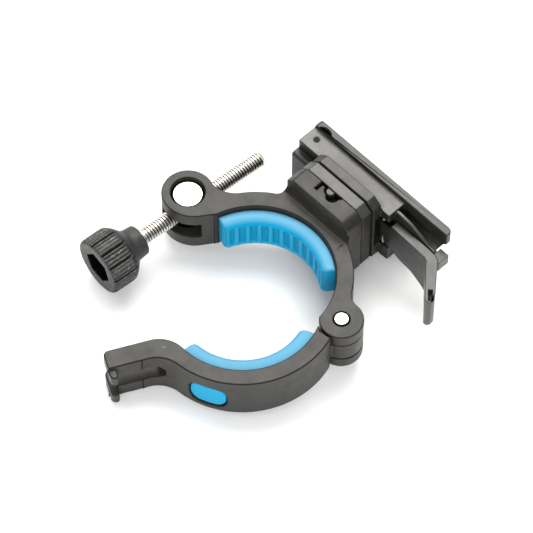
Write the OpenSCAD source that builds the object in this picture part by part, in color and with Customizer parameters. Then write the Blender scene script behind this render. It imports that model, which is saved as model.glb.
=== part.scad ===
// Handlebar mount for a bicycle light: a hinged two-arm clamp drawn shut by
// a swinging barrel-nut screw with a hand knob, carrying a swivelling slide
// rail on which the light is pushed and held by a sprung release lever.
// Origin: centre of the bar, on the mid-plane of the clamp arms.
// +Z is the bar's axis, +X the light's beam, +Y from the bar to the rail.

/* [Clamp] */
// Radius of the bar gripped by the pads
bar_r = 14.7; // [14.2:0.1:15.2]
// Radius of the seat that backs the rubber pads
seat_r = 18.3; // [18:0.1:18.6]
// Outer radius of the clamp arms
arm_r = 22.3; // [21.8:0.1:22.8]
// Thickness of the clamp arms along the bar
arm_t = 12.4; // [11.6:0.2:13]
// Height of the rubber pads along the bar
pad_t = 9.4; // [8.6:0.2:10]
// Angle by which the lower arm stands open
open_a = 19.3; // [10:0.1:30]

/* [Hinge] */
// Distance of the hinge pin from the bar's centre along X
hinge_x = 22.1; // [22:0.1:22.4]
// Distance of the hinge pin from the bar's centre along Y
hinge_y = 5.55; // [5.3:0.05:5.8]
// Radius of the hinge knuckles
boss_r = 5.07; // [4.8:0.01:5.2]
// Diameter of the knurled hinge pin
pin_d = 3.8; // [3.4:0.1:4.2]

/* [Screw] */
// X of the barrel nut's axis
eye_x = -26.8; // [-27.2:0.1:-26.4]
// Y of the barrel nut's axis
eye_y = 4.1; // [3.8:0.1:4.4]
// Radius of the round housing of the barrel nut
eye_r = 6.1; // [5.8:0.1:6.4]
// Diameter of the barrel nut
nut_d = 7.86; // [7.6:0.01:8]
// Diameter over the screw's thread
screw_d = 3.9; // [3.7:0.05:4]
// Direction in which the screw points, from the nut to the knob
screw_a = -94.65; // [-98:0.05:-90]
// Radius of the knob over its ribs
knob_r = 7.1; // [6.6:0.1:7.4]

/* [Bracket] */
// X of the swivel axis
swivel_x = -1.95; // [-2.5:0.05:-1.5]
// Width of the plates along X
plate_w = 19.7; // [19:0.1:20.5]
// Height of the plates along Z
plate_h = 22.6; // [22:0.1:23]
// Height of the slide rail between its lips
rail_h = 18.1; // [17.5:0.1:18.5]
// Height of the slide rail over its lips
lip_h = 20.3; // [19.7:0.1:20.3]
// Left end of the slide rail
rail_x0 = -18.8; // [-19.2:0.1:-18.4]
// Right end of the slide rail's upper lip
rail_x1 = 24.1; // [23.5:0.1:24.3]

/* [Hidden] */
$fn = 96;
h = arm_t / 2;
black = [0.16, 0.155, 0.15];
blue = [0.10, 0.58, 0.86];
steel = [0.78, 0.78, 0.77];
// hinge knuckles: upper lug, middle knuckle and lower lug meet at these heights
kn_top = 2.65;
kn_bot = -2.95;
kn_gap = 0.05;
// centres of the bend that carries the lower arm out to its fork: hollow side and full side
bend_r = 7;
full_r = 7.2;
fork_t = 4.76;
touch = 0.003; // bite of one smooth curve into the next
bend = polar(arm_r - 0.1 + bend_r - touch, -103.7);
fork_l = 9.2;
rail_z = -1.15;
nn = [0.6909, -0.7230];
dd = [-0.7230, -0.6909];
full_a = -46.3 - acos((bend * nn - (bend_r + fork_t - full_r)) / (seat_r - 0.1 + full_r));
full = polar(seat_r - 0.1 + full_r, full_a);
slot_h = 4.3;
// plates: faces along Y
y_block = 21.2;
y_base = 26.0;
y_gap = 29.0;
y_plate = 29.35;
y_body = 31.8;
y_lip = 37.0;
y_face = 39.0;

function polar(r, a) = [r * cos(a), r * sin(a)];

// point at distance ra from a and rb from b, on the left (s = 1) or right (s = -1) of the way from a to b
function meet(a, ra, b, rb, s) = let (v = b - a, d = norm(v), u = v / d, x = (d * d + ra * ra - rb * rb) / (2 * d))
    a + x * u + s * sqrt(ra * ra - x * x) * [-u[1], u[0]];

// wedge of a disc from angle a0 to a1 counter-clockwise, large enough for every arc
module wedge(a0, a1, R = 60) {
    polygon(concat([[0, 0]], [for (i = [0 : 8]) polar(R, a0 + (a1 - a0) * i / 8)]));
}

// flat ring between two radii over a range of angles
module arc2(r0, r1, a0, a1) {
    intersection() {
        difference() { circle(r1, $fn = 128); circle(r0, $fn = 128); }
        wedge(a0, a1);
    }
}

// turn a child about the hinge pin
module about_hinge(a) {
    translate([hinge_x, hinge_y, 0]) rotate(a) translate([-hinge_x, -hinge_y, 0]) children();
}

// bar of rectangular outline in the XZ plane with chamfered corners, from y0 to y1
module chamfered_plate(x0, x1, zh, y0, y1, cx = 2.2, cz = 1.9) {
    translate([0, y0, 0]) rotate([-90, 0, 0]) linear_extrude(y1 - y0)
        polygon([[x0 + cx, -zh], [x1 - cx, -zh], [x1, -zh + cz], [x1, zh - cz],
                 [x1 - cx, zh], [x0 + cx, zh], [x0, zh - cz], [x0, -zh + cz]]);
}

// upright rounded oblong along the local X axis: width w, height t, corner radius r, x from 0 to len
module oblong(w, t, r, len) {
    rotate([90, 0, 90]) linear_extrude(len) union() {
        square([w - 2 * r, t], center = true);
        square([w, t - 2 * r], center = true);
        for (sx = [-1, 1], sy = [-1, 1]) translate([sx * (w / 2 - r), sy * (t / 2 - r)]) circle(r, $fn = 48);
    }
}

// place a child at the barrel nut with its local X along the screw, towards the knob
module on_screw() { translate([eye_x, eye_y, 0]) rotate(screw_a) children(); }

// cylinder along the screw from s0 to s1, measured from the nut's axis
module along(r, s0, s1, r2 = -1) { translate([s0, 0, 0]) rotate([0, 90, 0]) cylinder(h = s1 - s0, r1 = r, r2 = r2 < 0 ? r : r2); }

// hollow curve of radius f between two round outlines; p, q: further points inside the solid
module hollow(a, ra, b, rb, f, s, p, q) {
    c = meet(a, ra + f - touch, b, rb + f - touch, s);
    difference() {
        polygon([a + (c - a) * (ra - 0.4) / (ra + f), c, b + (c - b) * (rb - 0.4) / (rb + f), p, q]);
        translate(c) circle(f);
    }
}

module block_notch() {
    // channel at the joint with the swivel base, the slit beside it and the pocket around the latch peg
    translate([-5.1, y_base - 0.6, plate_h / 2 - 1.7]) cube([6.5, 1.2, 3]);
    translate([-5.1, y_base - 2.6, plate_h / 2 - 1.7]) cube([0.75, 3, 3]);
    translate([-2.0, y_base - 0.45, plate_h / 2 - 2.2]) cylinder(h = 4, r = 1.4, $fn = 48);
    translate([-0.5, y_base - 1.3, plate_h / 2 - 2.2]) cylinder(h = 4, r = 1.5, $fn = 48);
}

// hollow curve of radius f between the ring and the flank of the block at x
module block_foot(x, s, f) {
    c = [x + s * (f - touch), sqrt(pow(arm_r + f - touch, 2) - pow(x + s * (f - touch), 2))];
    difference() {
        polygon([c * (arm_r - 0.4) / (arm_r + f), c, [x - s * 2, c[1]], [x - s * 2, 18.9]]);
        translate(c) circle(f);
    }
}

module upper_outline() {
    // ring part, hinge boss and barrel-nut housing
    difference() {
        union() {
            arc2(seat_r, arm_r, 13, 165);
            translate([hinge_x, hinge_y]) circle(boss_r);
            translate([eye_x, eye_y]) circle(eye_r);
            // fuller flank of the housing towards the bar
            intersection() {
                translate([eye_x + 0.2, eye_y + 1.9]) circle(8.05);
                translate([eye_x, -4]) square([11, 12]);
            }
            polygon([[eye_x + 0.2, eye_y + 1.9], [-19.91, 1.53], [-17.6, 4.95], [-18.5, 8]]);
            // web between housing and ring with its hollow curve on the outside
            hollow([eye_x, eye_y], eye_r, [0, 0], arm_r, 6.5, 1, [-16.3, 9.5], [-18, 4]);
            // hollow curves where the ring runs into the block
            block_foot(swivel_x - plate_w / 2, -1, 2);
            block_foot(swivel_x + plate_w / 2, 1, 2.5);
            // hollow curve between ring and hinge boss
            hollow([0, 0], arm_r, [hinge_x, hinge_y], boss_r, 3.5, 1, [20.5, 8], [18.6, 8.6]);
            translate([swivel_x - plate_w / 2, 18.7]) square([plate_w, y_base - 18.7 - 0.2]);
        }
        circle(seat_r, $fn = 128);
    }
}

module upper_arm() {
    color(black) difference() {
        union() {
            translate([0, 0, -h]) linear_extrude(arm_t) upper_outline();
            chamfered_plate(swivel_x - plate_w / 2, swivel_x + plate_w / 2, plate_h / 2, y_block, y_base);
            // hollow curves at the foot of the block, above and below the arm
            for (s = [-1, 1]) intersection() {
                translate([0, 0, s > 0 ? h - 0.2 : -h - 1.4]) linear_extrude(1.6) upper_outline();
                difference() {
                    translate([-15, y_block - 1.4, s > 0 ? h - 0.2 : -h - 1.4]) cube([30, 1.6, 1.6]);
                    translate([-16, y_block - 1.4, s * (h + 1.4)]) rotate([0, 90, 0]) cylinder(h = 32, r = 1.4);
                }
            }
        }
        // hinge: room for the middle knuckle, and the pin's hole
        translate([hinge_x, hinge_y, kn_bot - kn_gap]) cylinder(h = kn_top - kn_bot + 2 * kn_gap, r = 5.4);
        translate([hinge_x, hinge_y, -h - 1]) cylinder(h = arm_t + 2, d = pin_d);
        // bore for the barrel nut
        translate([eye_x, eye_y, -h - 1]) cylinder(h = arm_t + 2, r = nut_d / 2 + 0.06);
        // windows that let the screw swing, on the knob's side and opposite
        translate([eye_x, eye_y, -2.4]) linear_extrude(4.8) {
            for (s = [0, 180]) rotate(s) polygon([[0, 0], polar(2.3, screw_a + 58 + 90), polar(2.3, screw_a + 148) + polar(14, screw_a + 58),
                polar(16, screw_a + 26), polar(2.3, screw_a - 96) + polar(14, screw_a - 6), polar(2.3, screw_a - 96)]);
        }
        // pocket for the upper pad's lug
        rotate(137) translate([seat_r - 1, 0, -1.1]) oblong(8.1, 5.9, 2.2, 3.1);
        // bolt hole, nut trap and the two dowel holes of the swivel base
        translate([swivel_x, y_base + 1, 0]) rotate([90, 0, 0]) cylinder(h = 12, d = 4.2);
        translate([swivel_x, 21.75, 0]) rotate([90, 0, 0]) cylinder(h = 6, d = 7.1 / cos(30), $fn = 6);
        for (z = [-7.5, 7.5]) translate([swivel_x, y_base + 1, z]) rotate([90, 0, 0]) cylinder(h = 3.4, d = 3.1);
        block_notch();
    }
}

// moulded rubber pad: an arc with bevelled edges and its locking lug
module pad(a0, a1, lug_a, lug_r, lug_w, lug_t, so, bv) {
    z = pad_t / 2;
    color(blue) {
        union() {
            rotate(a0) rotate_extrude(angle = a1 - a0, $fn = 160)
                polygon([[bar_r, -z + bv], [bar_r + 1.2 * bv, -z], [so, -z], [so, z], [bar_r + 1.2 * bv, z], [bar_r, z - bv]]);
            intersection() {
                rotate(lug_a) translate([seat_r - 1.2, 0, -1.1]) oblong(lug_w, lug_t, 2.2 + (lug_w > 8.5 ? 0.4 : 0), 8);
                difference() {
                    translate([0, 0, -h]) cylinder(h = arm_t, r = lug_r, $fn = 160);
                    translate([0, 0, -h - 1]) cylinder(h = arm_t + 2, r = seat_r - 1, $fn = 160);
                }
            }
        }
    }
}

module upper_pad() { pad(52.6, 163.9, 137, seat_r + 1.9, 8, 5.8, seat_r - 0.04, 0.8); }

module lower_pad() { about_hinge(open_a) pad(-110.5, 1, -83.9, arm_r - 0.3, 9, 6.8, seat_r - 0.14, 0.5); }

module pivot_pin() {
    color(steel) translate([hinge_x, hinge_y, -h]) cylinder(h = arm_t + 0.15, d = pin_d);
}

module lower_outline() {
    arc2(seat_r - 0.1, arm_r - 0.1, full_a, 14);
    // bend out to the fork: hollow side, then full side
    t0 = polar(arm_r - 0.5, -103.7);
    t1 = bend - (bend_r - touch) * nn;
    t2 = full - full_r * nn;
    difference() {
        polygon([t0, bend, t1 + 1.5 * dd + nn, t1 + 1.5 * dd - nn, t2 + nn, polar(seat_r + 0.3, full_a)]);
        translate(bend) circle(bend_r);
    }
    intersection() {
        translate(full) circle(full_r + touch);
        polygon([polar(20.5, full_a + 4), (t0 + t1 + t2) / 3, t2 + 2 * nn + dd, t2 - 4 * nn + dd, polar(14, full_a + 4)]);
    }
    // straight fork
    polygon([t1, t1 + fork_l * dd, bend - (bend_r + fork_t - 1.2) * nn + fork_l * dd,
             bend - (bend_r + fork_t) * nn + (fork_l - 1.2) * dd, t2]);
    translate(bend - (bend_r + fork_t - 1.2) * nn + (fork_l - 1.2) * dd) circle(1.2, $fn = 48);
}

module lower_arm() {
    color(black) about_hinge(open_a) difference() {
        union() {
            difference() {
                translate([0, 0, -h]) linear_extrude(arm_t) lower_outline();
                translate([hinge_x, hinge_y, -h - 1]) cylinder(h = arm_t + 2, r = 5.45);
                translate([hinge_x - 3, hinge_y - 5, -h - 1]) cube([20, 20, arm_t + 2]);
            }
            // middle knuckle
            difference() {
                translate([0, 0, kn_bot + kn_gap]) linear_extrude(kn_top - kn_bot - 2 * kn_gap) {
                    intersection() { lower_outline(); translate([hinge_x, hinge_y]) circle(8); }
                    translate([hinge_x, hinge_y]) circle(boss_r - 0.05);
                }
            }
            // two retaining lips at the fork's tip
            for (s = [-1, 1]) translate([0, 0, s * 2.15]) mirror([0, 0, s < 0 ? 1 : 0]) linear_extrude(3.2)
                polygon([bend - (bend_r + 1) * nn + 7.3 * dd, bend - (bend_r - 1.9) * nn + 7.3 * dd,
                         bend - (bend_r - 2.4) * nn + 7.8 * dd, bend - (bend_r - 2.3) * nn + 8.6 * dd,
                         bend - (bend_r - 1.7) * nn + fork_l * dd, bend - (bend_r + 1) * nn + fork_l * dd]);
        }
        translate([hinge_x, hinge_y, -h - 1]) cylinder(h = arm_t + 2, r = pin_d / 2 + 0.05);
        // slot of the fork: straight part and round inner end
        translate([0, 0, -slot_h / 2]) linear_extrude(slot_h) polygon([bend + polar(5.5, 121), bend + polar(14, 121),
            bend - 15 * nn + 12 * dd, bend - 1 * nn + 12 * dd]);
        translate([bend[0], bend[1], 0]) rotate(121) translate([4.6, 0, 0]) rotate([0, 90, 0]) cylinder(h = 10, d = slot_h, $fn = 64);
        // opening that takes the pad's lug
        rotate(-83.9) translate([seat_r - 1, 0, -1.1]) oblong(9.1, 6.9, 2.65, 8);
    }
}

module barrel_nut() {
    color(steel) difference() {
        translate([eye_x, eye_y, 0]) rotate_extrude()
            polygon([[0, -5.3], [nut_d / 2 - 0.45, -5.3], [nut_d / 2, -4.85], [nut_d / 2, 4.85], [nut_d / 2 - 0.45, 5.3], [0, 5.3]]);
        on_screw() along(screw_d / 2 + 0.05, -8, 8);
    }
}

module thrust_collar() {
    color(steel) on_screw() difference() { along(2.7, 13.85, 15.1); along(screw_d / 2 + 0.03, 12, 16); }
}

module clamp_bolt() {
    color(steel) on_screw() union() {
        along(screw_d / 2, -21.2, 18.5);
        along(screw_d / 2 - 0.4, -21.6, -21.2, screw_d / 2);
        translate([18.4, 0, 0]) rotate([0, 90, 0]) rotate(9) cylinder(h = 2.8, d = 7 / cos(30), $fn = 6);
    }
}

module knob() {
    color(black) on_screw() difference() {
        rotate([0, 90, 0]) rotate_extrude()
            polygon([[0, 14.2], [3.5, 14.2], [3.8, 14.5], [3.95, 17.0], [4.4, 17.6], [6.4, 19.3], [6.95, 19.9], [knob_r, 20.6],
                     [knob_r, 26.0], [knob_r - 0.5, 26.5], [0, 26.5]]);
        along(screw_d / 2, 10, 19);
        along(2.78, 13, 15.12);
        translate([18.4, 0, 0]) rotate([0, 90, 0]) rotate(9) cylinder(h = 12, d = 7 / cos(30), $fn = 6);
        // valleys between the groups of ribs
        for (i = [0 : 11]) rotate([i * 30 + 15, 0, 0]) translate([19.9, 0, knob_r + 0.55]) rotate([0, 90, 0]) cylinder(h = 5.6, r = 1.05, $fn = 24);
    }
}

module swivel_base() {
    color(black) difference() {
        union() {
            chamfered_plate(swivel_x - plate_w / 2, swivel_x + plate_w / 2, plate_h / 2, y_base, y_gap);
            // dowels that stop it turning on the block
            for (z = [-7.5, 7.5]) translate([swivel_x, y_base + 0.5, z]) rotate([90, 0, 0]) cylinder(h = 2.6, d = 3);
            // latch peg in the block's pocket
            translate([-2.0, y_base - 0.45, plate_h / 2 - 2.0]) cylinder(h = 1.6, r = 1.1, $fn = 48);
            translate([-2.6, y_base - 0.45, plate_h / 2 - 2.0]) cube([1.2, 1.0, 1.6]);
        }
        translate([swivel_x, y_gap + 1, 0]) rotate([90, 0, 0]) cylinder(h = 8, d = 4.2);
    }
}

module swivel_bolt() {
    color(steel) translate([swivel_x, 0, 0]) rotate([-90, 0, 0]) difference() {
        union() {
            translate([0, 0, 18.6]) cylinder(h = 16.5, d = 4);
            translate([0, 0, 34.65]) cylinder(h = 3.4, d = 7);
        }
        translate([0, 0, 36.2]) cylinder(h = 5, d = 3.46, $fn = 6);
    }
}

module flat_washer() {
    color(steel) translate([swivel_x, 33.45, 0]) rotate([-90, 0, 0]) difference() { cylinder(h = 0.5, d = 8); translate([0, 0, -1]) cylinder(h = 3, d = 4.1); }
}

module spring_washer() {
    color(steel) translate([swivel_x, 33.95, 0]) rotate([-90, 0, 0]) difference() {
        rotate_extrude() polygon([[2.1, 0.15], [3.7, 0], [3.7, 0.55], [2.1, 0.7]]);
        translate([0, -0.3, -1]) cube([6, 0.6, 3]);
    }
}

module swivel_nut() {
    color(steel) translate([swivel_x, 18.5, 0]) rotate([-90, 0, 0]) difference() { cylinder(h = 3.2, d = 7 / cos(30), $fn = 6); translate([0, 0, -1]) cylinder(h = 6, d = 4); }
}

module light_bracket() {
    zt = rail_z + rail_h / 2;
    zb = rail_z - rail_h / 2;
    lt = rail_z + lip_h / 2 + 0.1;
    lb = rail_z - lip_h / 2 + 0.1;
    color(black) difference() {
        union() {
            chamfered_plate(swivel_x - plate_w / 2 + 0.2, swivel_x + plate_w / 2 + 0.3, plate_h / 2, y_plate, y_body + 0.1);
            // slide rail body
            translate([rail_x0, y_body, zb]) cube([10.8 - rail_x0, y_lip - y_body + 0.1, rail_h]);
            // face plate whose edges are the lips
            translate([0, 0, (lt + lb) / 2]) chamfered_plate(rail_x0, 11.1, (lt - lb) / 2, y_lip, y_face, 0.7, 0.7);
            // upper lip carried on past the body
            translate([0, 0, 3.0]) linear_extrude(lt - 3.0)
                polygon([[10, y_lip], [rail_x1, y_lip], [rail_x1, y_face - 0.9], [rail_x1 - 0.4, y_face - 0.25], [rail_x1 - 1.1, y_face], [10, y_face]]);
            // floor and sloping near wall of the open channel
            translate([10, 33.9, 3.0]) cube([rail_x1 - 10.7, y_lip - 33.9 + 0.1, 1.0]);
            translate([10, 34.85, 0]) rotate([90, 0, 0]) linear_extrude(0.95) polygon([[0, 3], [13.2, 3], [13.2, 4], [10.6, 4.9], [5.6, 7.2], [2, 7.7], [0, 7.7]]);
            // short lower lip past the body
            translate([10, y_lip, lb]) cube([3.6, y_face - y_lip, 5.4]);
            // box at the left end, joined to the plate
            translate([rail_x0 - 0.3, 29.8, -6.4]) cube([8.2, y_body - 29.8 + 0.6, 10.0]);
            translate([rail_x0 - 0.3, 30.6, -7.2]) cube([8.2, y_body - 30.6 + 0.6, 11.6]);
            for (z = [3.6, -6.4]) translate([rail_x0 - 0.3, 30.6, z]) rotate([0, 90, 0]) cylinder(h = 8.2, r = 0.8, $fn = 32);
        }
        // swivel bolt: bore and counterbore
        translate([swivel_x, 28, 0]) rotate([-90, 0, 0]) cylinder(h = 9, r = 2.05);
        translate([swivel_x, 33.45, 0]) rotate([-90, 0, 0]) cylinder(h = 8, d = 8.6);
        // cut-back lower corner of the upper lip's end
        translate([0, 40, 0]) rotate([90, 0, 0]) linear_extrude(5) polygon([[rail_x1 - 1.7, 2.5], [rail_x1 + 1, 2.5], [rail_x1 + 1, 5.5], [rail_x1, 5.3], [rail_x1 - 1.2, 4.0]]);
        // half-moon finger mark and sink mark
        translate([-15.5, y_lip - 1.3, lt - 1.6]) difference() { cylinder(h = 4, r = 2.4); translate([-3, -4, -1]) cube([6, 5.6, 6]); }
        translate([-15.9, 34.8, zt + 2.3]) sphere(r = 2.5);
        // room for the lever's root and its swing
        translate([4.4, 30.2, -5.6]) cube([8.4, 3.68, 10.8]);
        // hole of the lever's pin, blind at the top
        translate([8.6, 32.75, zb - 1]) cylinder(h = 7.0 - zb + 1, r = 0.75);
    }
}

module lever_pin() {
    color(steel) translate([8.6, 32.75, -8.6]) cylinder(h = 15.2, r = 0.75);
}

module release_lever() {
    color(black) difference() {
        union() {
            translate([0, 0, -8.5]) linear_extrude(13.4) {
                translate([8.6, 32.75]) circle(1.0, $fn = 48);
                polygon([[8.6, 31.75], [18, 31.45], [22.9, 31.25], [23.8, 30.85], [24.4, 30.1], [26.6, 27.85], [29.1, 25.1], [30.7, 23.4],
                         [31.2, 23.1], [32.0, 23.15], [32.5, 23.7], [32.4, 24.8], [31.3, 26.2], [29.6, 28.1], [27.3, 30.7], [26.1, 32.3],
                         [25.2, 33.0], [24.2, 33.4], [22.4, 33.55], [12.9, 33.6], [8.6, 33.75]]);
            }
            // catch that locks the light
            translate([23.55, 32.4, 1.4]) cube([2.65, 3.4, 3.2]);
        }
        translate([8.6, 32.75, -9]) cylinder(h = 18, r = 0.78);
        // low root inside the bracket, and the lower edge that deepens towards the finger tab
        translate([5, 30, 3.6]) cube([6.7, 6, 3]);
        translate([0, 36, 0]) rotate([90, 0, 0]) linear_extrude(16)
            polygon([[0, -10], [40, -10], [40, -4.5], [32.6, -4.5], [24.6, -8.4], [23.5, -8.4], [20, -6.7], [18.3, -6.1], [14.8, -6.1], [13, -5.7], [12.3, -5], [0, -5]]);
        // facet that thins the blade below a slanting crease
        translate([12.4, 31.62, -0.5]) rotate([0, 0, -2]) rotate([0, 35.1, 0]) rotate([4, 0, 0]) translate([-2, -5, -8]) cube([15.6, 5, 8]);
        // pocket in the end of the finger tab
        translate([30.95, 25.0, 3.7]) rotate(-46) translate([-1.5, -0.5, 0]) cube([3.0, 1.0, 3]);
    }
}

upper_arm();
upper_pad();
pivot_pin();
barrel_nut();
thrust_collar();
clamp_bolt();
knob();
lower_arm();
lower_pad();
swivel_base();
swivel_bolt();
flat_washer();
spring_washer();
swivel_nut();
light_bracket();
lever_pin();
release_lever();
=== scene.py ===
import math

import bmesh
import bpy
from mathutils import Matrix, Vector


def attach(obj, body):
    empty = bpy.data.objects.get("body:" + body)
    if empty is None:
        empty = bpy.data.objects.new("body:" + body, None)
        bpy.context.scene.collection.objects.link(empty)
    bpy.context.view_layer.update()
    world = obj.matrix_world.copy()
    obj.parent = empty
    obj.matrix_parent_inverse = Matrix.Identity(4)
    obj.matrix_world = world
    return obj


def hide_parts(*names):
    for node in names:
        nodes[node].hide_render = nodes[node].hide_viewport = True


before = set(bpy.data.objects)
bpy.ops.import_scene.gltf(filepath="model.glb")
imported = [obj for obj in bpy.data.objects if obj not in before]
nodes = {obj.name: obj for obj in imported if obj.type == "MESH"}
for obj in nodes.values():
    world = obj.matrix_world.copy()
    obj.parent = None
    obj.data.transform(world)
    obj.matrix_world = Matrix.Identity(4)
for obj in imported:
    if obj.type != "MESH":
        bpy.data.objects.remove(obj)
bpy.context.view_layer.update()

MM = 0.001

# ---------------------------------------------------------------- dimensions, mm, in the part's frame
EYE = (-26.8, 4.1)          # axis of the barrel nut
HINGE = (22.1, 5.55)        # axis of the hinge pin
OPEN = math.radians(19.3)   # how far the lower arm stands open
SCREW = math.radians(-94.65)
GATE = (0.0, -28.2)         # pale dot on the open lower arm
U = Vector((math.cos(SCREW), math.sin(SCREW), 0))    # from the nut to the knob
W = Vector((-math.sin(SCREW), math.cos(SCREW), 0))
Z = Vector((0, 0, 1))


def rad(a):
    return math.radians(a)


def smooth(x, a, b):
    t = min(1.0, max(0.0, (x - a) / (b - a)))
    return t * t * (3 - 2 * t)


# ---------------------------------------------------------------- mesh helpers

def build(name, verts, faces, sharp=40.0, weld=True):
    me = bpy.data.meshes.new(name)
    bm = bmesh.new()
    vs = [bm.verts.new((v[0] * MM, v[1] * MM, v[2] * MM)) for v in verts]
    for f in faces:
        try:
            bm.faces.new([vs[i] for i in f])
        except ValueError:
            pass
    if weld:
        bmesh.ops.remove_doubles(bm, verts=bm.verts, dist=2e-6)
        bmesh.ops.dissolve_degenerate(bm, edges=bm.edges, dist=1e-6)
    bmesh.ops.recalc_face_normals(bm, faces=bm.faces)
    for f in bm.faces:
        f.smooth = True
    for e in bm.edges:
        e.smooth = e.calc_face_angle(0.0) < rad(sharp)
    bm.to_mesh(me)
    bm.free()
    ob = bpy.data.objects.new(name, me)
    bpy.context.scene.collection.objects.link(ob)
    return ob


def grid_faces(rows, cols, wrap=True, first=0):
    out = []
    for i in range(rows - 1):
        for j in range(cols if wrap else cols - 1):
            k = (j + 1) % cols
            out.append((first + i * cols + j, first + i * cols + k, first + (i + 1) * cols + k, first + (i + 1) * cols + j))
    return out


def on_screw(s, r, phi):
    p = Vector((EYE[0], EYE[1], 0)) + U * s + W * (r * math.cos(phi)) + Z * (r * math.sin(phi))
    return tuple(p)


def about_hinge(p, a=OPEN):
    x, y = p[0] - HINGE[0], p[1] - HINGE[1]
    return (HINGE[0] + x * math.cos(a) - y * math.sin(a), HINGE[1] + x * math.sin(a) + y * math.cos(a), p[2])


# ---------------------------------------------------------------- materials

def material(name):
    m = bpy.data.materials.new(name)
    m.use_nodes = True
    t = m.node_tree
    t.nodes.clear()
    out = t.nodes.new("ShaderNodeOutputMaterial")
    b = t.nodes.new("ShaderNodeBsdfPrincipled")
    t.links.new(b.outputs["BSDF"], out.inputs["Surface"])
    c = t.nodes.new("ShaderNodeTexCoord")
    return m, t, b, c.outputs["Object"]


def noise(t, vec, scale, detail=2.0, rough=0.5, stretch=None):
    if stretch:
        mp = t.nodes.new("ShaderNodeMapping")
        mp.inputs["Scale"].default_value = stretch
        t.links.new(vec, mp.inputs["Vector"])
        vec = mp.outputs["Vector"]
    n = t.nodes.new("ShaderNodeTexNoise")
    n.inputs["Scale"].default_value = scale
    n.inputs["Detail"].default_value = detail
    n.inputs["Roughness"].default_value = rough
    t.links.new(vec, n.inputs["Vector"])
    return n.outputs["Fac"]


def ramp(t, fac, stops):
    r = t.nodes.new("ShaderNodeValToRGB")
    e = r.color_ramp.elements
    e[0].position, e[0].color = stops[0][0], (*stops[0][1], 1)
    e[1].position, e[1].color = stops[-1][0], (*stops[-1][1], 1)
    for p, c in stops[1:-1]:
        n = e.new(p)
        n.color = (*c, 1)
    t.links.new(fac, r.inputs["Fac"])
    return r.outputs["Color"]


def span(t, fac, lo, hi, a=0.3, b=0.7):
    r = t.nodes.new("ShaderNodeMapRange")
    r.inputs["From Min"].default_value = a
    r.inputs["From Max"].default_value = b
    r.inputs["To Min"].default_value = lo
    r.inputs["To Max"].default_value = hi
    t.links.new(fac, r.inputs["Value"])
    return r.outputs["Result"]


def mix(t, fac, a, b):
    n = t.nodes.new("ShaderNodeMix")
    n.data_type = "RGBA"
    t.links.new(fac, n.inputs["Factor"])
    for s, v in (("A", a), ("B", b)):
        sock = [i for i in n.inputs if i.name == s and i.type == "RGBA"][0]
        if isinstance(v, tuple):
            sock.default_value = (*v, 1)
        else:
            t.links.new(v, sock)
    return [o for o in n.outputs if o.type == "RGBA"][0]


def bump(t, height, strength, distance, normal=None):
    n = t.nodes.new("ShaderNodeBump")
    n.inputs["Strength"].default_value = strength
    n.inputs["Distance"].default_value = distance
    t.links.new(height, n.inputs["Height"])
    if normal is not None:
        t.links.new(normal, n.inputs["Normal"])
    return n.outputs["Normal"]


def vmath(t, op, a, v, out="Vector"):
    n = t.nodes.new("ShaderNodeVectorMath")
    n.operation = op
    t.links.new(a, n.inputs[0])
    n.inputs[1].default_value = tuple(v)
    return n.outputs[out]


def radial(t, vec, centre, axis):
    """Distance in metres from an axis."""
    n = t.nodes.new("ShaderNodeVectorMath")
    n.operation = "LENGTH"
    t.links.new(vmath(t, "CROSS_PRODUCT", vmath(t, "SUBTRACT", vec, [c * MM for c in centre]), axis), n.inputs[0])
    return n.outputs["Value"]


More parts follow.
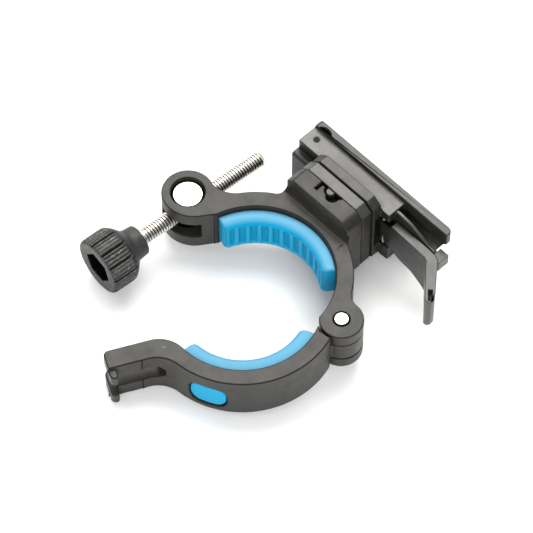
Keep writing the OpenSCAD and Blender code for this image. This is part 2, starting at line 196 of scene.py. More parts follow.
def moulded(name, low, high, rough, grain=5200.0, depth=0.25, marks=0.0, mark_colour=(0.2, 0.2, 0.19), specular=0.5, pit=None, shade=0.0, rim=1.0, side=1.0, back=None, crest=None, front=None):
    """Moulded plastic: cloudy colour, spark-eroded grain, faint flow marks and scuffs; on request also painted shade
    and painted highlight, set through its colour and gloss.
    """
    m, t, b, vec = material(name)
    cloud = noise(t, vec, 170.0, 3.0, 0.55)
    col = ramp(t, cloud, [(0.32, low), (0.68, high)])
    if pit:
        # painted shade: within about 1 mm of the sink mark at pit the colour darkens to near black
        near = vmath(t, "DISTANCE", vec, [c * MM for c in pit], "Value")
        col = mix(t, span(t, near, 0.9, 0.0, 0.00055, 0.00105), col, (0.006, 0.006, 0.007))
    if marks > 0:
        scuff = noise(t, vec, 900.0, 5.0, 0.72, (1.0, 0.35, 1.0))
        wear = span(t, scuff, 0.0, marks, 0.56, 0.74)
        col = mix(t, wear, col, mark_colour)
    t.links.new(col, b.inputs["Base Color"])
    r = noise(t, vec, 420.0, 4.0, 0.6)
    t.links.new(span(t, r, rough - 0.05, rough + 0.06), b.inputs["Roughness"])
    g = noise(t, vec, grain, 2.0, 0.6)
    flow = noise(t, vec, 260.0, 2.0, 0.5)
    n1 = bump(t, flow, 0.12, 0.00025)
    t.links.new(bump(t, g, depth, 0.00006, n1), b.inputs["Normal"])
    b.inputs["Specular IOR Level"].default_value = specular
    if shade:
        # painted shade: an ambient occlusion node turns the gloss down in crevices and close to other parts, so they
        # read darker
        ao = t.nodes.new("ShaderNodeAmbientOcclusion")
        ao.inputs["Distance"].default_value = shade * MM
        ao.samples = 8
        gloss = span(t, ao.outputs["AO"], 0.03, specular, 0.35, 0.88)
        if pit:
            # painted shade: the sink mark also loses most of its gloss
            n = t.nodes.new("ShaderNodeMath")
            n.operation = "MULTIPLY"
            t.links.new(gloss, n.inputs[0])
            t.links.new(span(t, near, 0.12, 1.0, 0.00055, 0.00105), n.inputs[1])
            gloss = n.outputs["Value"]
        if back:
            # painted shade: beyond y = back the gloss falls to 0.62, darkening the clip side of the rail
            deep = t.nodes.new("ShaderNodeSeparateXYZ")
            t.links.new(vec, deep.inputs["Vector"])
            n = t.nodes.new("ShaderNodeMath")
            n.operation = "MULTIPLY"
            t.links.new(gloss, n.inputs[0])
            t.links.new(span(t, deep.outputs["Y"], 1.0, 0.62, (back - 0.2) * MM, (back + 0.3) * MM), n.inputs[1])
            gloss = n.outputs["Value"]
            if front:
                # painted shade: in front of y = front the gloss falls to 0.58, darkening the plate in front of it as
                # well
                n = t.nodes.new("ShaderNodeMath")
                n.operation = "MULTIPLY"
                t.links.new(gloss, n.inputs[0])
                t.links.new(span(t, deep.outputs["Y"], 0.58, 1.0, (front - 0.1) * MM, (front + 0.1) * MM), n.inputs[1])
                gloss = n.outputs["Value"]
        if rim < 1.0 or side < 1.0:
            # painted shade and painted highlight: the gloss on rounded edges, between the flat tops and the upright
            # sides, is scaled by rim, and on the upright sides by side; below 1 this darkens them, above 1 it
            # brightens them
            way = t.nodes.new("ShaderNodeSeparateXYZ")
            t.links.new([n for n in t.nodes if n.bl_idname == "ShaderNodeTexCoord"][0].outputs["Normal"], way.inputs["Vector"])
            tall = t.nodes.new("ShaderNodeMath")
            tall.operation = "ABSOLUTE"
            t.links.new(way.outputs["Z"], tall.inputs[0])
            curve = ramp(t, tall.outputs["Value"], [(0.0, (side, side, side)), (0.22, (side, side, side)), (0.42, (rim, rim, rim)), (0.90, (rim, rim, rim)), (0.985, (1, 1, 1)), (1.0, (1, 1, 1))])
            if crest:
                # a chamfer above this height keeps at least 0.8 of its gloss, lifting most of the painted edge shade
                up = t.nodes.new("ShaderNodeSeparateXYZ")
                t.links.new(vec, up.inputs["Vector"])
                n = t.nodes.new("ShaderNodeMath")
                n.operation = "ABSOLUTE"
                t.links.new(up.outputs["Z"], n.inputs[0])
                most = t.nodes.new("ShaderNodeMath")
                most.operation = "MAXIMUM"
                t.links.new(curve, most.inputs[0])
                t.links.new(span(t, n.outputs["Value"], 0.0, 0.8, (crest - 0.2) * MM, (crest + 0.2) * MM), most.inputs[1])
                curve = most.outputs["Value"]
            n = t.nodes.new("ShaderNodeMath")
            n.operation = "MULTIPLY"
            t.links.new(gloss, n.inputs[0])
            t.links.new(curve, n.inputs[1])
            gloss = n.outputs["Value"]
        t.links.new(gloss, b.inputs["Specular IOR Level"])
    return m


def rubber(name, groove=None):
    m, t, b, vec = material(name)
    cloud = noise(t, vec, 210.0, 3.0, 0.6)
    col = ramp(t, cloud, [(0.3, (0.0003, 0.225, 0.405)), (0.7, (0.0010, 0.248, 0.435))])
    up = t.nodes.new("ShaderNodeSeparateXYZ")
    t.links.new(vec, up.inputs["Vector"])
    high = t.nodes.new("ShaderNodeMath")
    high.operation = "ABSOLUTE"
    t.links.new(up.outputs["Z"], high.inputs[0])
    # painted sheen: the top and bottom faces, above about 4 mm from the middle, are given a paler, less saturated blue
    col = mix(t, span(t, high.outputs["Value"], 0.0, 1.0, 3.75 * MM, 4.5 * MM), col, (0.105, 0.300, 0.450))
    if groove:
        # painted shade: the groove floors between the ribs, clear of the top and bottom, are darker and less glossy
        far = radial(t, vec, (0, 0, 0), (0, 0, 1))
        fac = span(t, far, 0.0, 1.0, groove[0] * MM, groove[1] * MM)
        for value, a, c in ((far, groove[1] + 0.35, groove[1] + 0.5), (high.outputs["Value"], 3.4, 3.7)):
            n = t.nodes.new("ShaderNodeMath")
            n.operation = "MULTIPLY"
            t.links.new(fac, n.inputs[0])
            t.links.new(span(t, value, 1.0, 0.0, a * MM, c * MM), n.inputs[1])
            fac = n.outputs["Value"]
        col = mix(t, fac, col, (0.0, 0.185, 0.330))
        t.links.new(span(t, fac, 0.5, 0.1, 0.0, 1.0), b.inputs["Specular IOR Level"])
    dust = span(t, noise(t, vec, 1300.0, 4.0, 0.7), 0.0, 0.08, 0.58, 0.75)
    t.links.new(mix(t, dust, col, (0.20, 0.50, 0.74)), b.inputs["Base Color"])
    t.links.new(span(t, noise(t, vec, 500.0, 3.0, 0.6), 0.40, 0.50), b.inputs["Roughness"])
    n1 = bump(t, noise(t, vec, 330.0, 2.0, 0.5), 0.10, 0.0002)
    t.links.new(bump(t, noise(t, vec, 6500.0, 2.0, 0.6), 0.16, 0.00004, n1), b.inputs["Normal"])
    b.inputs["Specular IOR Level"].default_value = 0.5
    b.inputs["Specular Tint"].default_value = (0.22, 0.72, 1.0, 1)
    b.inputs["Subsurface Weight"].default_value = 0.06
    b.inputs["Subsurface Radius"].default_value = (0.0004, 0.0007, 0.001)
    b.inputs["Subsurface Scale"].default_value = 1.0
    return m


def metal(name, low, high, rough, scratch=(1.0, 1.0, 1.0), depth=0.10, grain=2600.0):
    m, t, b, vec = material(name)
    b.inputs["Metallic"].default_value = 1.0
    stain = noise(t, vec, 600.0, 4.0, 0.65)
    t.links.new(ramp(t, stain, [(0.3, low), (0.7, high)]), b.inputs["Base Color"])
    t.links.new(span(t, noise(t, vec, 1500.0, 3.0, 0.6), rough - 0.06, rough + 0.08), b.inputs["Roughness"])
    t.links.new(bump(t, noise(t, vec, grain, 3.0, 0.6, scratch), depth, 0.00003), b.inputs["Normal"])
    return m


def turned(name, centre, edge, low, high, rough):
    """Turned end face about an axis along Z: fine rings, bright to a radius and painted dark beyond it, painted shade
    on the chamfer.
    """
    m, t, b, vec = material(name)
    b.inputs["Metallic"].default_value = 1.0
    mp = t.nodes.new("ShaderNodeMapping")
    mp.inputs["Location"].default_value = (-centre[0] * MM, -centre[1] * MM, 0)
    t.links.new(vec, mp.inputs["Vector"])
    wv = t.nodes.new("ShaderNodeTexWave")
    wv.wave_type, wv.rings_direction = "RINGS", "Z"
    wv.inputs["Scale"].default_value = 900.0
    wv.inputs["Distortion"].default_value = 0.6
    wv.inputs["Detail"].default_value = 1.0
    t.links.new(mp.outputs["Vector"], wv.inputs["Vector"])
    stain = noise(t, vec, 700.0, 3.0, 0.6)
    face = ramp(t, stain, [(0.3, low), (0.7, high)])
    # painted shade: beyond radius edge the colour turns dark brown
    far = radial(t, vec, (centre[0], centre[1], 0), (0, 0, 1))
    t.links.new(mix(t, span(t, far, 0.0, 1.0, (edge - 0.03) * MM, (edge + 0.04) * MM), face, (0.085, 0.072, 0.062)), b.inputs["Base Color"])
    t.links.new(span(t, stain, rough - 0.05, rough + 0.05), b.inputs["Roughness"])
    t.links.new(bump(t, wv.outputs["Fac"], 0.06, 0.00003), b.inputs["Normal"])
    return m


def threaded(name):
    """Bright rolled thread, painted dark brown towards its roots as painted shade."""
    m, t, b, vec = material(name)
    b.inputs["Metallic"].default_value = 1.0
    far = radial(t, vec, (EYE[0], EYE[1], 0), U)
    # painted shade: dark brown at the thread roots, rising to near white at the crests
    depth = span(t, far, 0.0, 1.0, 1.62 * MM, 1.95 * MM)
    col = ramp(t, depth, [(0.0, (0.10, 0.080, 0.062)), (0.30, (0.34, 0.30, 0.25)), (0.55, (0.84, 0.82, 0.77)), (0.88, (0.97, 0.97, 0.95))])
    stain = span(t, noise(t, vec, 1100.0, 3.0, 0.6), 0.0, 0.35, 0.45, 0.7)
    t.links.new(mix(t, stain, col, (0.42, 0.36, 0.29)), b.inputs["Base Color"])
    t.links.new(span(t, noise(t, vec, 1500.0, 3.0, 0.6), 0.26, 0.36), b.inputs["Roughness"])
    t.links.new(bump(t, noise(t, vec, 2600.0, 2.0, 0.5), 0.03, 0.00002), b.inputs["Normal"])
    return m


def ribbed(name):
    """Knob plastic: painted shade near black between the ribs, lighter towards the crests, scuffed pale along them."""
    m, t, b, vec = material(name)
    far = radial(t, vec, (EYE[0], EYE[1], 0), U)
    crest = span(t, far, 0.0, 1.0, 6.60 * MM, 7.06 * MM)
    body = ramp(t, noise(t, vec, 380.0, 4.0, 0.6), [(0.32, (0.017, 0.0165, 0.016)), (0.68, (0.032, 0.031, 0.0295))])
    # painted shade: near black at the groove floors, lighter up to the crests
    col = ramp(t, crest, [(0.0, (0.004, 0.004, 0.004)), (0.55, (0.020, 0.0195, 0.019)), (1.0, (0.052, 0.0505, 0.048))])
    band = span(t, far, 0.0, 1.0, 6.15 * MM, 6.45 * MM)
    col = mix(t, band, body, col)
    scuff = noise(t, vec, 1500.0, 5.0, 0.75)
    hit = t.nodes.new("ShaderNodeMath")
    hit.operation = "MULTIPLY"
    t.links.new(span(t, scuff, 0.0, 0.9, 0.54, 0.66), hit.inputs[0])
    t.links.new(span(t, far, 0.06, 1.0, 6.75 * MM, 7.05 * MM), hit.inputs[1])
    t.links.new(mix(t, hit.outputs["Value"], col, (0.30, 0.295, 0.28)), b.inputs["Base Color"])
    t.links.new(span(t, noise(t, vec, 700.0, 4.0, 0.6), 0.44, 0.60), b.inputs["Roughness"])
    n1 = bump(t, noise(t, vec, 900.0, 3.0, 0.6), 0.35, 0.00012)
    t.links.new(bump(t, noise(t, vec, 3000.0, 3.0, 0.65), 0.5, 0.00008, n1), b.inputs["Normal"])
    return m


# ARM: painted shade in crevices and on its rounded edges (rim 0.10); BASE: painted shade in crevices and on upright
# sides (side 0.2), painted highlight on rounded edges (rim 1.3); BRACKET: painted shade in crevices, at the sink mark,
# beyond y 37, in front of y 31.9, on edges and on sides; LEVER: painted shade in crevices
ARM = moulded("arm_nylon", (0.014, 0.0132, 0.0112), (0.020, 0.0188, 0.0162), 0.44, specular=0.44, shade=3.5, rim=0.10, crest=9.2)
BASE = moulded("base_nylon", (0.014, 0.0136, 0.0125), (0.021, 0.0204, 0.0188), 0.36, marks=0.12, mark_colour=(0.20, 0.19, 0.17), specular=0.72, shade=4.0, rim=1.3, side=0.2)
BRACKET = moulded("bracket_plastic", (0.013, 0.0127, 0.0118), (0.021, 0.0203, 0.0187), 0.34, 3600.0, 0.34, 0.18, (0.18, 0.17, 0.15), 0.9, (-15.9, 34.8, 7.9), 7.0, 0.85, 0.5, 37.0, front=31.9)
LEVER = moulded("lever_plastic", (0.013, 0.0127, 0.0122), (0.021, 0.0205, 0.0195), 0.36, 4200.0, 0.28, 0.14, (0.14, 0.135, 0.13), 0.7, None, 6.0)
KNOB = ribbed("knob_plastic")
# painted shade: the hex recess in the knob gets a near-black, nearly glossless material
RECESS_PAINTED_SHADE = moulded("knob_recess_painted_shade", (0.001, 0.001, 0.001), (0.002, 0.002, 0.002), 0.70, specular=0.05)
DOT = moulded("gate_witness", (0.07, 0.068, 0.063), (0.10, 0.097, 0.090), 0.5)
PAD = rubber("pad_rubber")
RIBBED = rubber("pad_rubber_ribbed", (14.92, 15.22))
THREAD = threaded("screw_steel")
STEEL = metal("plated_steel", (0.56, 0.55, 0.53), (0.72, 0.71, 0.69), 0.30)
NUT = turned("turned_nut", EYE, 3.46, (0.90, 0.90, 0.89), (0.96, 0.96, 0.95), 0.34)
PIN = turned("turned_pin", HINGE, 1.60, (0.88, 0.88, 0.87), (0.95, 0.95, 0.94), 0.36)


def wear_material(ob, mat):
    if ob.material_slots:
        for s in ob.material_slots:
            s.link = "OBJECT"
            s.material = mat
    else:
        ob.data.materials.append(mat)


def soften(ob, width, segments=3, angle=32.0, join=0.05, corner="MITER_SHARP"):
    """Rounded moulded edges on a solid that keeps its shape."""
    w = ob.modifiers.new("weld", "WELD")
    w.merge_threshold = join * MM
    d = ob.modifiers.new("flats", "DECIMATE")
    d.decimate_type = "DISSOLVE"
    d.angle_limit = rad(1.2)
    b = ob.modifiers.new("edges", "BEVEL")
    b.width = width * MM
    b.segments = segments
    b.limit_method = "ANGLE"
    b.angle_limit = rad(angle)
    b.use_clamp_overlap = False
    b.miter_outer = corner
    b.harden_normals = False
    n = ob.modifiers.new("normals", "WEIGHTED_NORMAL")
    n.keep_sharp = False
    n.weight = 80


for name, mat, width in (("upper_arm", ARM, 0.30), ("lower_arm", ARM, 0.38), ("swivel_base", BASE, 0.3), ("light_bracket", BRACKET, 0.26),
                         ("release_lever", LEVER, 0.16), ("thrust_collar", STEEL, 0.06),
                         ("swivel_bolt", STEEL, 0.1), ("flat_washer", STEEL, 0.05), ("spring_washer", STEEL, 0.05),
                         ("swivel_nut", STEEL, 0.1), ("lever_pin", STEEL, 0.05)):
    wear_material(nodes[name], mat)
    if name == "light_bracket":
        soften(nodes[name], width, join=0.002, corner="MITER_ARC")
    else:
        soften(nodes[name], width, join=0.05, angle=50.0 if name == "upper_arm" else 32.0)


# ---------------------------------------------------------------- rubber pads

def pad_mesh(name, a0, a1, r_in, r_out, zh, bevel, rib_first, rib_count, groove, lug_angle, lug_r, lug_w, lug_t, turn=0.0):
    """An arc of rubber with a bevelled top and bottom, rounded ends and ribs along the bar on its inner face."""
    arc = rad(a1 - a0) * r_in
    steps = int(round((a1 - a0) * 2.5))
    rho = 1.25

    def loop(deg):
        d = min(deg - a0, a1 - deg) * math.pi / 180 * r_in
        e = rho - math.sqrt(max(0.0, rho * rho - (rho - min(d, rho)) ** 2))
        ez = 0.35 - math.sqrt(max(0.0, 0.1225 - (0.35 - min(d, 0.35)) ** 2))
        f = ((deg - rib_first) / 10.0 + 0.5) % 1.0 - 0.5           # 0 on a rib, +-0.5 mid-groove
        inside = smooth(deg, rib_first - 7.3, rib_first - 6.1) * (1 - smooth(deg, rib_first + 10 * (rib_count - 1) + 6.1, rib_first + 10 * (rib_count - 1) + 7.3))
        g = smooth(abs(f), 0.14, 0.27) * inside * groove
        top = zh - bevel
        prof = [
            (r_out, -zh + 0.25), (r_out, zh - 0.25), (r_out - 0.1, zh - 0.07), (r_out - 0.3, zh),
            (r_out - 0.9, zh), (r_in + bevel * 0.95 + 0.55, zh), (r_in + bevel * 0.95 + 0.25, zh - 0.05), (r_in + bevel * 0.95, zh - 0.18),
            (r_in + 0.5 * bevel, zh - 0.55 * bevel - 0.1), (r_in + 0.16, top + 0.1), (r_in + 0.03, top - 0.18), (r_in, top - 0.42),
            (r_in + 0.35 * g, top - 0.62), (r_in + 0.85 * g, top - 0.86), (r_in + g, top - 1.15),
            (r_in + g, 0.5), (r_in + g, -1.4), (r_in + 0.75 * g, -zh + 1.5),
            (r_in + 0.35 * g, -zh + 0.9), (r_in + 0.04 + 0.1 * g, -zh + 0.55), (r_in + 0.14, -zh + 0.27), (r_in + 0.36, -zh + 0.08),
            (r_in + 0.7, -zh), (r_out - 0.3, -zh), (r_out - 0.1, -zh + 0.07),
        ]
        out = []
        for r, z in prof:
            w = 1.0 - smooth(r, r_out - 1.0, r_out - 0.1)
            out.append((min(r + e * w, r_out), z * (1 - ez / zh)))
        return out

    verts, cols = [], 0
    for i in range(steps + 1):
        deg = a0 + (a1 - a0) * i / steps
        # crowd the first and last few columns so that the ends are round
        if i <= 6:
            deg = a0 + (a1 - a0) * (6 / steps) * (i / 6) ** 2
        elif i >= steps - 6:
            deg = a1 - (a1 - a0) * (6 / steps) * ((steps - i) / 6) ** 2
        pts = loop(deg)
        cols = len(pts)
        for r, z in pts:
            p = (r * math.cos(rad(deg)), r * math.sin(rad(deg)), z)
            verts.append(about_hinge(p, turn) if turn else p)
    faces = grid_faces(steps + 1, cols)
    faces.append(tuple(range(cols)))
    faces.append(tuple(reversed(range(steps * cols, (steps + 1) * cols))))

    # the lug that locks the pad in its arm
    rc = min(lug_w, lug_t) / 2 * 0.78
    base = len(verts)
    ring = []
    for k in range(72):
        a = 2 * math.pi * k / 72
        cx, cy = lug_w / 2 - rc, lug_t / 2 - rc
        ring.append((math.copysign(cx, math.cos(a)) * (1 if abs(math.cos(a)) > 1e-9 else 0) + rc * math.cos(a),
                     math.copysign(cy, math.sin(a)) * (1 if abs(math.sin(a)) > 1e-9 else 0) + rc * math.sin(a)))
    levels = [(r_out - 0.5, 0.0), (lug_r - 0.34, 0.0), (lug_r - 0.22, 0.03), (lug_r - 0.09, 0.12), (lug_r - 0.02, 0.3), (lug_r, 0.55), (lug_r, 1.3), (lug_r, 2.2)]
    for r, inset in levels:
        for y, z in ring:
            ky = (lug_w / 2 - inset) / (lug_w / 2)
            kz = (lug_t / 2 - inset) / (lug_t / 2)
            a = rad(lug_angle) + y * ky / lug_r
            p = (r * math.cos(a), r * math.sin(a), -1.1 + z * kz)
            verts.append(about_hinge(p, turn) if turn else p)
    faces += grid_faces(len(levels), 72, True, base)
    a = rad(lug_angle)
    p = (lug_r * math.cos(a), lug_r * math.sin(a), -1.1)
    verts.append(about_hinge(p, turn) if turn else p)
    last = base + (len(levels) - 1) * 72
    faces += [(last + k, last + (k + 1) % 72, len(verts) - 1) for k in range(72)]
    ob = build(name, verts, faces, 48.0)
    ob.data.materials.append(PAD)
    return ob


upper = pad_mesh("upper_pad_rubber", 52.7, 163.8, 14.85, 18.25, 4.7, 1.15, 63.0, 10, 0.5, 137.0, 20.1, 7.7, 5.5)
upper.data.materials[0] = RIBBED
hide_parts("upper_pad")
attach(upper, "root")

lower = pad_mesh("lower_pad_rubber", -110.4, 0.9, 14.5, 18.1, 4.7, 0.55, -99.7, 10, 0.55, -83.9, 21.95, 8.72, 6.52, OPEN)
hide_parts("lower_pad")
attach(lower, "lower")


# ---------------------------------------------------------------- hand screw with its thread

def screw_mesh():
    per = 40
    pitch = 0.7
    prof = [(0.0, 1.95), (0.16, 1.95), (0.24, 1.80), (0.32, 1.66), (0.36, 1.62), (0.44, 1.62), (0.48, 1.66), (0.56, 1.80), (0.70, 1.95)]
    lo, hi = -21.6, 13.15
    turns = int((hi - lo) / pitch) + 3
    verts = []
    for j in range(turns * per + 1):
        phi = 2 * math.pi * j / per
        for ds, r in prof:
            s = lo - pitch * 1.5 + pitch * j / per + ds
            sc = min(hi, max(lo, s))
            r = min(r, 1.42 + (sc - lo) * 0.9)
            r = min(r, 1.95 - 0.4 * smooth(sc, hi - 0.5, hi)) if sc > hi - 0.5 else r
            verts.append(on_screw(sc, r, phi))
    n = len(prof)
    faces = [(j * n + k, (j + 1) * n + k, (j + 1) * n + k + 1, j * n + k + 1) for j in range(turns * per) for k in range(n - 1)]
    thread = build("screw_thread", verts, faces, 28.0)
    thread.data.materials.append(THREAD)

    # end face of the tip, plain shank under the knob and hexagonal head
    N = 60
    verts, faces = [], []
    rings = [(lo + 0.02, 0.35), (lo, 0.9), (lo, 1.42)]
    for s, r in rings:
        verts += [on_screw(s, r, 2 * math.pi * k / N) for k in range(N)]
    faces += grid_faces(3, N)
    verts.append(on_screw(lo + 0.03, 0, 0))
    faces += [(k, (k + 1) % N, 3 * N) for k in range(N)]
    first = len(verts)
    shank = [(12.75, 1.5), (12.95, 1.86), (13.1, 1.92), (14.0, 1.92), (15.2, 1.92), (18.4, 1.92)]
    for s, r in shank:
        verts += [on_screw(s, r, 2 * math.pi * k / N) for k in range(N)]
    faces += grid_faces(len(shank), N, True, first)
    first = len(verts)
    head = [(18.4, 1.9, 0), (18.4, 1.0, 1), (20.75, 1.0, 1), (21.2, 0.93, 1), (21.2, 0.5, 1)]
    for s, r, is_hex in head:
        for k in range(N):
            a = 2 * math.pi * k / N
            q = ((math.degrees(a) + 9) % 60) - 30
            rr = r * 3.44 / math.cos(rad(q)) if is_hex else r
            if s > 21.0 and is_hex:
                rr = min(rr, 3.3)
            verts.append(on_screw(s, rr, a))
    faces += grid_faces(len(head), N, True, first)
    verts.append(on_screw(21.2, 0, 0))
    last = first + (len(head) - 1) * N
    faces += [(last + k, last + (k + 1) % N, len(verts) - 1) for k in range(N)]
    shank_ob = build("screw_shank", verts, faces, 25.0)
    shank_ob.data.materials.append(STEEL)
    return thread, shank_ob


thread, shank = screw_mesh()
for ob in (thread, shank):
    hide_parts("clamp_bolt")
    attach(ob, "screw")


# ---------------------------------------------------------------- knob

def knob_mesh():
    N = 576
    prof = [(15.08, 2.0), (15.08, 2.75), (14.3, 2.8), (14.2, 2.95), (14.2, 3.35), (14.28, 3.6), (14.5, 3.78), (15.2, 3.84), (16.2, 3.93), (17.0, 4.05),
            (17.5, 4.3), (17.9, 4.72), (18.4, 5.3), (18.9, 5.85), (19.4, 6.3), (19.8, 6.6), (20.1, 6.8), (20.35, 6.95), (20.6, 7.04), (20.9, 7.08), (21.6, 7.1),
            (22.8, 7.1), (24.0, 7.1), (25.2, 7.1), (25.8, 7.08), (26.1, 7.0), (26.3, 6.88), (26.43, 6.7), (26.5, 6.45), (26.5, 6.0), (26.46, 5.4), (26.42, 4.9)]
    verts = []
    for s, R in prof:
        w = smooth(s, 19.7, 20.7) * (1 - 0.75 * smooth(s, 25.9, 26.45)) if R > 6.4 else 0.0
        wv = smooth(s, 18.9, 20.6) * (1 - 0.8 * smooth(s, 26.1, 26.5)) if R > 6.0 else 0.0
        for k in range(N):
            a = 2 * math.pi * k / N
            deg = math.degrees(a)
            f = ((deg - 15) / 7.5) % 1.0                   # 0 in a groove, 0.5 on a rib
            rib = smooth(abs(f - 0.5), 0.20, 0.45)
            which = int((deg - 15) // 7.5) % 48
            vary = 0.75 + 0.5 * math.sin(which * 2.7 + 1.0) ** 2
            v = abs(((deg - 15 + 15) % 30) - 15)           # degrees from the nearest deep valley
            valley = 1 - smooth(v, 1.0, 4.0)
            r = R - 0.30 * rib * w * vary - 0.52 * valley * wv
            # knocks and burrs along the crests
            r -= 0.10 * w * (1 - rib) * max(0.0, math.sin(s * 3.1 + which * 1.9) * math.sin(s * 1.3 + which * 4.1) - 0.45)
            # each rib a little different, as on a worn mould
            r -= 0.035 * w * math.sin(deg * 0.33 + 1.3) ** 2
            verts.append(on_screw(s, r, a))
    for s, grow in ((26.38, 0.12), (26.2, 0.0), (25.6, 0.0), (23.0, 0.0), (21.25, 0.0)):
        for k in range(N):
            a = 2 * math.pi * k / N
            q = ((math.degrees(a) + 9) % 60) - 30
            r = 3.5 / math.cos(rad(q)) + grow
            verts.append(on_screw(s, r, a))
    rows = len(prof) + 5
    faces = grid_faces(rows, N)
    ob = build("hand_knob", verts, faces, 55.0)
    ob.data.materials.append(KNOB)
    ob.data.materials.append(RECESS_PAINTED_SHADE)
    c = Vector((EYE[0], EYE[1], 0))
    # the hex recess faces take the near-black painted-shade material
    for f in ob.data.polygons:
        p = Vector(f.center) / MM - c
        s = p.dot(U)
        if 21.2 < s < 26.42 and (p - U * s).length < 4.16:
            f.material_index = 1
    return ob


knob = knob_mesh()
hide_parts("knob")
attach(knob, "screw")


# ---------------------------------------------------------------- knurled hinge pin

def pin_mesh():
    N = 240
    rows = [(-6.2, 0.0, 0), (-6.2, 1.45, 0), (-6.1, 1.72, 0.4), (-5.95, 1.88, 1), (-3.2, 1.88, 1), (-3.1, 1.84, 0), (2.8, 1.84, 0), (2.9, 1.88, 1),
            (5.8, 1.88, 1), (6.1, 1.76, 1), (6.27, 1.66, 1), (6.33, 1.60, 0.9), (6.35, 1.50, 0.7), (6.355, 1.25, 0), (6.35, 0.9, 0), (6.34, 0.35, 0), (6.34, 0.0, 0)]
    verts = []
    for z, R, kn in rows:
        for k in range(N):
            a = 2 * math.pi * k / N
            r = R - 0.17 * kn * (0.5 + 0.5 * math.cos(22 * a)) ** 1.5
            verts.append((HINGE[0] + r * math.cos(a), HINGE[1] + r * math.sin(a), z))
    ob = build("knurled_pin", verts, grid_faces(len(rows), N), 35.0)
    ob.data.materials.append(PIN)
    return ob


pin = pin_mesh()
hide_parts("pivot_pin")
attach(pin, "root")


# ---------------------------------------------------------------- barrel nut in the eye

def nut_mesh():
    N = 144
    half = [(5.30, 0.0), (5.30, 2.4), (5.30, 3.20), (5.285, 3.34), (5.24, 3.41), (5.15, 3.45), (4.75, 3.52), (4.55, 3.62), (4.42, 3.78), (4.30, 3.93), (3.4, 3.93)]
    rows = [(-z, r) for z, r in half] + [(z, r) for z, r in reversed(half)]
    verts = [(EYE[0] + r * math.cos(2 * math.pi * k / N), EYE[1] + r * math.sin(2 * math.pi * k / N), z) for z, r in rows for k in range(N)]
    ob = build("pivot_nut", verts, grid_faces(len(rows), N), 40.0)
    ob.data.materials.append(NUT)
    return ob


nut = nut_mesh()
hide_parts("barrel_nut")
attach(nut, "nut")


# ---------------------------------------------------------------- pale witness of the moulding gate

def dot_mesh():
    N = 24
    centre = (GATE[0], GATE[1])
    verts = []
    for r, z in ((0.36, 6.185), (0.33, 6.215), (0.22, 6.235), (0.1, 6.24)):
        verts += [(centre[0] + r * math.cos(2 * math.pi * k / N), centre[1] + r * math.sin(2 * math.pi * k / N), z) for k in range(N)]
    faces = grid_faces(4, N)
    faces.append(tuple(range(3 * N, 4 * N)))
    faces.append(tuple(reversed(range(N))))
    ob = build("gate_dot", verts, faces, 60.0)
    ob.data.materials.append(DOT)
    return ob


dot = dot_mesh()
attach(dot, "lower")


# ---------------------------------------------------------------- floor, light, camera

FLOOR_N = Vector((0.0, 0.08176, 0.99665))                  # the table's upward direction in the part's frame
FLOOR_P = FLOOR_N * (-9.5289 * MM - 0.00004)
bm = bmesh.new()
size, div = 3.0, 24
for i in range(div + 1):
    for j in range(div + 1):
        bm.verts.new((size * (i / div - 0.5), size * (j / div - 0.5), 0))
bm.verts.ensure_lookup_table()
for i in range(div):
    for j in range(div):
        a = i * (div + 1) + j
        bm.faces.new([bm.verts[a], bm.verts[a + div + 1], bm.verts[a + div + 2], bm.verts[a + 1]])
me = bpy.data.meshes.new("studio_floor")
bm.to_mesh(me)
bm.free()
floor = bpy.data.objects.new("studio_floor", me)
bpy.context.scene.collection.objects.link(floor)
floor.matrix_world = Matrix.Translation(FLOOR_P) @ FLOOR_N.to_track_quat("Z", "Y").to_matrix().to_4x4()
m, t, b, vec = material("white_table")
t.links.new(ramp(t, noise(t, vec, 3.0, 2.0), [(0.3, (0.90, 0.90, 0.90)), (0.7, (0.915, 0.915, 0.915))]), b.inputs["Base Color"])
b.inputs["Roughness"].default_value = 0.9
b.inputs["Specular IOR Level"].default_value = 0.1
floor.data.materials.append(m)

world = bpy.data.worlds.new("studio")
bpy.context.scene.world = world
world.use_nodes = True
wt = world.node_tree
sky = wt.nodes["Background"]
sky.inputs["Color"].default_value = (0.97, 0.985, 1.0, 1)

TARGET = Vector((-2.46, 5.79, 0)) * MM
ELEV, AZIM = rad(57.5), rad(46.18)
BACK = Vector((math.cos(ELEV) * math.sin(AZIM), -math.cos(ELEV) * math.cos(AZIM), math.sin(ELEV)))
RIGHT = Vector((math.cos(AZIM), math.sin(AZIM), 0))
UP = BACK.cross(RIGHT)

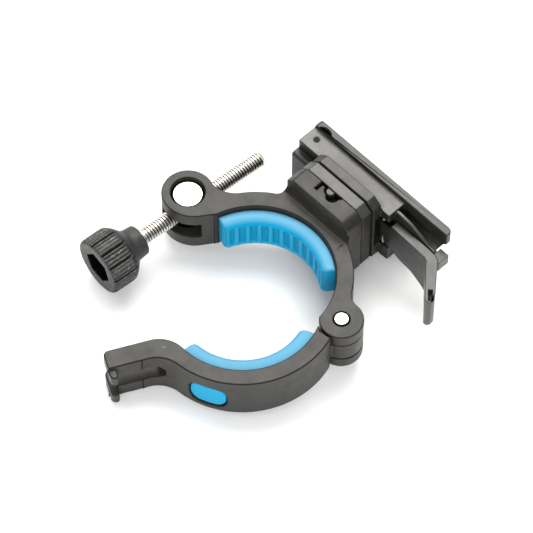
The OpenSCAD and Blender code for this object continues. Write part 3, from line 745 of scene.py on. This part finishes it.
# the room: bright above and behind the part, dimmer on the camera's side
wc = wt.nodes.new("ShaderNodeTexCoord")
lean = vmath(wt, "DOT_PRODUCT", wc.outputs["Generated"], Vector((-BACK.x, -BACK.y, BACK.z)).normalized(), "Value")
wt.links.new(span(wt, lean, 0.03, 1.0, -0.25, 0.9), sky.inputs["Strength"])


def area(name, direction, distance, w, h, radiance, colour=(1, 1, 1)):
    """A soft box whose face has the given radiance."""
    lamp = bpy.data.lights.new(name, "AREA")
    lamp.shape = "RECTANGLE"
    lamp.size, lamp.size_y = w, h
    lamp.energy = radiance * math.pi * w * h
    lamp.color = colour
    ob = bpy.data.objects.new(name, lamp)
    bpy.context.scene.collection.objects.link(ob)
    d = direction.normalized()
    ob.location = TARGET + d * distance
    ob.rotation_mode = "QUATERNION"
    ob.rotation_quaternion = d.to_track_quat("Z", "Y")
    return ob


area("key_box", Vector((-BACK.x * 1.0, -BACK.y * 1.0, BACK.z * 1.05)), 0.75, 0.62, 0.55, 5.5, (1.0, 0.975, 0.925))
area("side_box", -RIGHT * 0.95 + UP * 0.1 + BACK * 0.35, 0.9, 0.45, 0.45, 1.3, (0.96, 0.98, 1.0))
area("front_box", RIGHT * 0.5 - UP * 0.55 + BACK * 0.55, 1.1, 0.5, 0.4, 1.0, (0.97, 0.985, 1.0))
# a wide fill from the camera's side that lightens the shadows without showing as a gloss
fill = area("fill_box", BACK * 0.8 - UP * 0.45, 1.3, 1.1, 0.9, 7.0, (1.0, 0.99, 0.975))
fill.visible_glossy = False

cam_data = bpy.data.cameras.new("camera")
cam_data.sensor_width = 36.0
cam_data.lens = 232.2
cam_data.clip_start, cam_data.clip_end = 0.05, 10.0
camera = bpy.data.objects.new("camera", cam_data)
bpy.context.scene.collection.objects.link(camera)
camera.matrix_world = Matrix.Translation(TARGET + BACK * 0.7855) @ Matrix((RIGHT, UP, BACK)).transposed().to_4x4()
bpy.context.scene.camera = camera
bpy.context.scene.view_settings.view_transform = "Standard"
bpy.context.scene.view_settings.look = "None"

bpy.context.view_layer.update()
